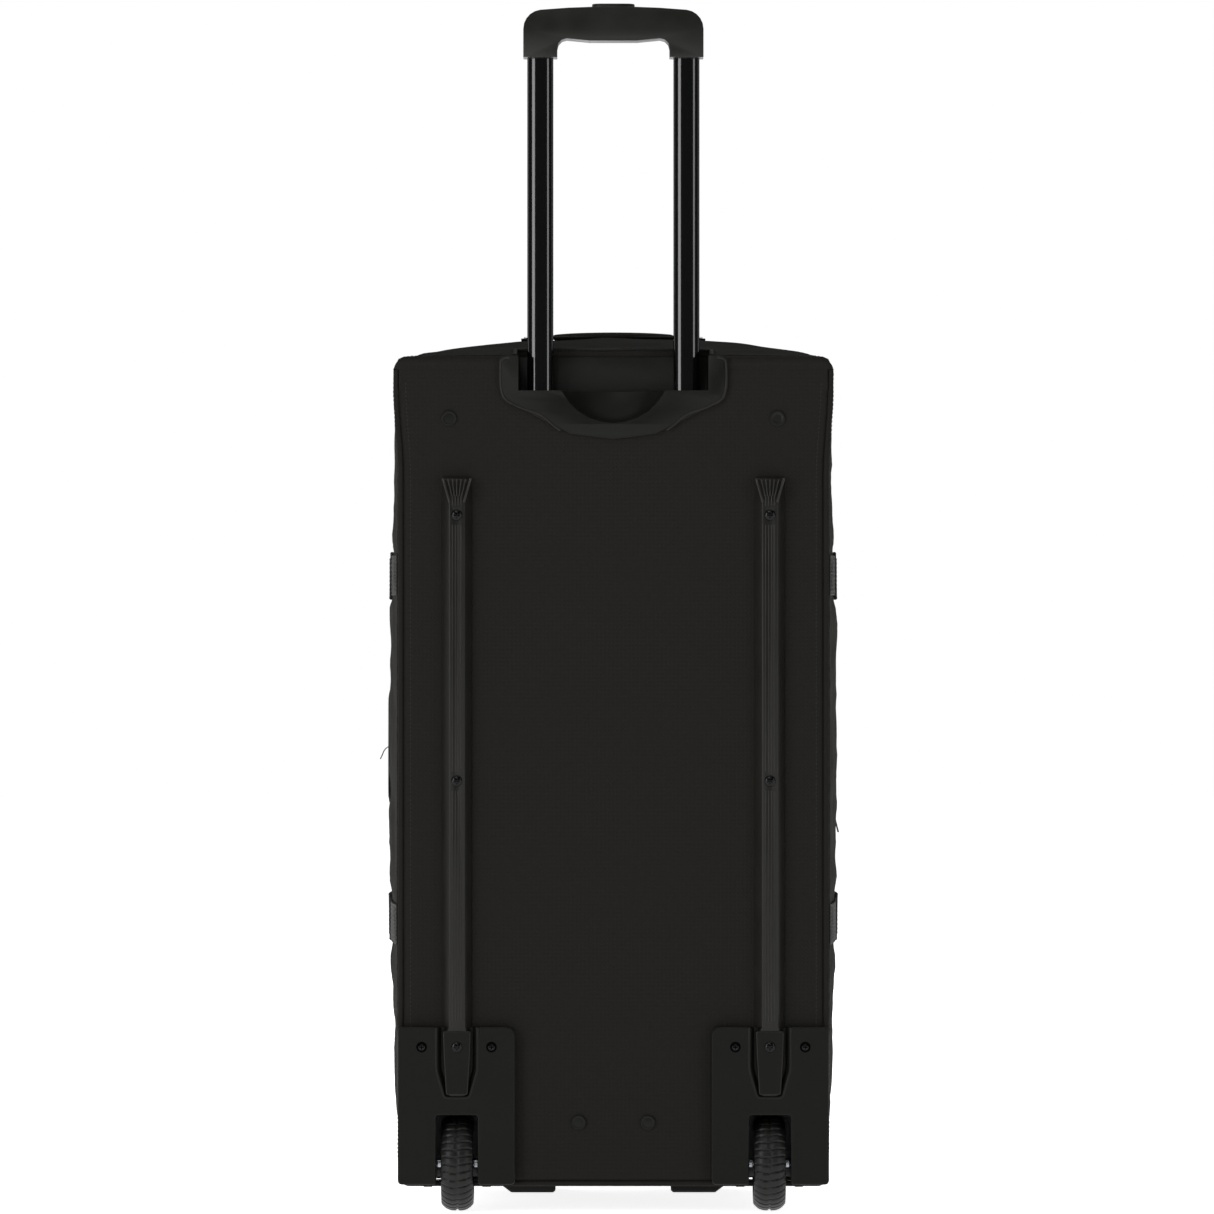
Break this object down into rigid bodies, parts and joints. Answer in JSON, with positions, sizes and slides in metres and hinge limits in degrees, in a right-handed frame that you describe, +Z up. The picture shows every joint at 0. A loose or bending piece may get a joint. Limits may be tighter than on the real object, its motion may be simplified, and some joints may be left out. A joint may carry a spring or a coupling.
{
  "type": "rolling duffel bag",
  "caption": "Upright soft rolling duffel bag with a sliding trolley handle, skid rails, wheels in corner housings, side straps and a zipped front lid.",
  "frame": {"origin": "on the floor, under the middle of the bag's bounding box", "axes": "+Z up along the handle's slide; the trolley and wheel side faces -Y; +X to the right seen from that side"},
  "size_m": [0.442, 0.3653, 1.1348],
  "materials": {
    "bag_fabric": "black woven polyester, matt",
    "webbing": "black woven webbing",
    "lining": "thin grey lining cloth",
    "board": "black polyethylene sheet",
    "moulded_plastic": "black moulded plastic, fine grain",
    "grip_plastic": "black moulded plastic, satin",
    "hub_plastic": "black moulded plastic",
    "tyre": "black polyurethane tread",
    "black_tube": "gloss black anodised tube",
    "raw_tube": "mill finish",
    "steel": "zinc plated steel",
    "dark_steel": "black plated steel, glossy",
    "zip_metal": "black cast zinc",
    "pull_plastic": "black moulded pull"
  },
  "bodies": {
    "bag": {"axle_left": "steel", "axle_right": "steel", "back_panel": "bag_fabric", "back_piping_left": "webbing", "back_piping_right": "webbing", "back_stiffener": "board", "base_board": "board", "body_gusset": "bag_fabric", "foot_left": "moulded_plastic", "foot_right": "moulded_plastic", "handle_cup": "moulded_plastic", "lining_panel": "lining", "lower_bracket": "moulded_plastic", "outer_tube_left": "raw_tube", "outer_tube_right": "raw_tube", "rail_screw_left_1": "dark_steel", "rail_screw_left_2": "dark_steel", "rail_screw_left_3": "dark_steel", "rail_screw_right_1": "dark_steel", "rail_screw_right_2": "dark_steel", "rail_screw_right_3": "dark_steel", "rivet_lower_left": "dark_steel", "rivet_lower_right": "dark_steel", "rivet_upper_left": "dark_steel", "rivet_upper_right": "dark_steel", "side_handle": "webbing", "side_strap_lower_left": "webbing", "side_strap_lower_right": "webbing", "side_strap_upper_left": "webbing", "side_strap_upper_right": "webbing", "skid_rail_left": "moulded_plastic", "skid_rail_right": "moulded_plastic", "top_handle": "webbing", "upper_bracket_left": "moulded_plastic", "upper_bracket_right": "moulded_plastic", "wheel_housing_left": "moulded_plastic", "wheel_housing_right": "moulded_plastic"},
    "handle": {"inner_tube_left": "black_tube", "inner_tube_right": "black_tube", "grip": "grip_plastic", "guide_plug_left": "moulded_plastic", "guide_plug_right": "moulded_plastic", "button_spring": "steel"},
    "release": {"grip_button": "grip_plastic", "release_bar": "steel", "push_rod_left": "raw_tube", "push_rod_right": "raw_tube"},
    "lock_left": {"lock_pin_left": "steel"},
    "lock_right": {"lock_pin_right": "steel"},
    "wheel_left": {"tyre_left": "tyre", "hub_left": "hub_plastic"},
    "wheel_right": {"tyre_right": "tyre", "hub_right": "hub_plastic"},
    "lid": {"lid_panel": "bag_fabric", "lid_pocket": "bag_fabric"},
    "slider_upper": {"main_slider_upper": "zip_metal"},
    "slider_lower": {"main_slider_lower": "zip_metal"},
    "pull_upper": {"main_pull_upper": "pull_plastic"},
    "pull_lower": {"main_pull_lower": "pull_plastic"},
    "slider_pocket": {"pocket_slider": "zip_metal"}
  },
  "joints": [
    {"name": "handle_slide", "type": "slide", "parent": "bag", "child": "handle", "axis": [0, 0, -1], "range_m": [0, 0.313]},
    {"name": "button_press", "type": "slide", "parent": "handle", "child": "release", "axis": [0, 0, -1], "range_m": [0, 0.003], "stiffness_N_per_m": 600, "springref_m": -0.005, "deforming": ["button_spring"]},
    {"name": "lock_slide_left", "type": "slide", "parent": "handle", "child": "lock_left", "axis": [1, 0, 0], "range_m": [0, 0.0024]},
    {"name": "lock_slide_right", "type": "slide", "parent": "handle", "child": "lock_right", "axis": [-1, 0, 0], "range_m": [0, 0.0024]},
    {"name": "wheel_spin_left", "type": "hinge", "parent": "bag", "child": "wheel_left", "pos_m": [-0.1466, -0.138, 0.045], "axis": [1, 0, 0], "continuous": true},
    {"name": "wheel_spin_right", "type": "hinge", "parent": "bag", "child": "wheel_right", "pos_m": [0.1466, -0.138, 0.045], "axis": [1, 0, 0], "continuous": true},
    {"name": "lid_hinge", "type": "hinge", "parent": "bag", "child": "lid", "pos_m": [-0.208, 0.12, 0.41], "axis": [0, 0, 1], "range_deg": [0, 120]},
    {"name": "slider_upper_slide", "type": "slide", "parent": "lid", "child": "slider_upper", "axis": [0, 0, 1], "range_m": [0, 0.355]},
    {"name": "slider_lower_slide", "type": "slide", "parent": "lid", "child": "slider_lower", "axis": [0, 0, -1], "range_m": [0, 0.25]},
    {"name": "pull_upper_swing", "type": "hinge", "parent": "slider_upper", "child": "pull_upper", "pos_m": [0.2142, 0.12, 0.372], "axis": [0, -1, 0], "range_deg": [0, 105]},
    {"name": "pull_lower_swing", "type": "hinge", "parent": "slider_lower", "child": "pull_lower", "pos_m": [0.2142, 0.12, 0.352], "axis": [0, -1, 0], "range_deg": [0, 38]},
    {"name": "pocket_slider_slide", "type": "slide", "parent": "lid", "child": "slider_pocket", "axis": [-1, 0, 0], "range_m": [0, 0.236]}
  ],
  "couplings": [
    {"joint": "lock_slide_left", "follows": "button_press", "ratio": 0.8},
    {"joint": "lock_slide_right", "follows": "button_press", "ratio": 0.8}
  ]
}
